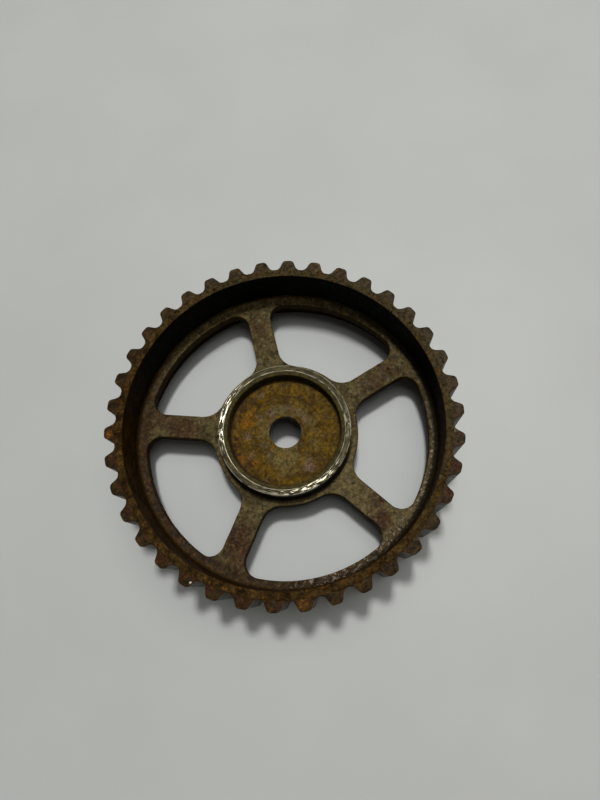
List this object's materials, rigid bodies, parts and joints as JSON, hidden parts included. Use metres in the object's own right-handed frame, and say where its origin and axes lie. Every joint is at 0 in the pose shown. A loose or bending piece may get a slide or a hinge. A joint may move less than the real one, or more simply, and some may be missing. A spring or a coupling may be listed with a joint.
{
  "type": "timing belt pulley",
  "caption": "Timing belt pulley with round teeth, a deep open rim, a spoked web and a cupped hub with a centre bolt hole and a rear shaft register.",
  "frame": {"origin": "on the pulley's axis, in the plane of the rim's rear face", "axes": "+Z along the axis towards the front, the side the centre bolt enters; +X along the middle of one spoke, which is also the middle of one tooth"},
  "size_m": [0.1138, 0.1136, 0.0286],
  "materials": {
    "tooth_steel": "sintered steel, worn grey flanks, brown rust on the faces",
    "rim_steel": "dark oxidised steel with brown rust",
    "web_steel": "grey-olive sintered skin with dark rust specks",
    "hub_steel": "turned steel under mottled yellow-ochre rust",
    "collar_steel": "turned steel worn bright, small chips along both edges",
    "dowel_steel": "ground steel"
  },
  "bodies": {
    "root": {"tooth_ring": "tooth_steel", "rim_band": "rim_steel", "spoke_web": "web_steel", "hub": "hub_steel", "hub_collar": "collar_steel", "locating_dowel": "dowel_steel"}
  },
  "joints": []
}
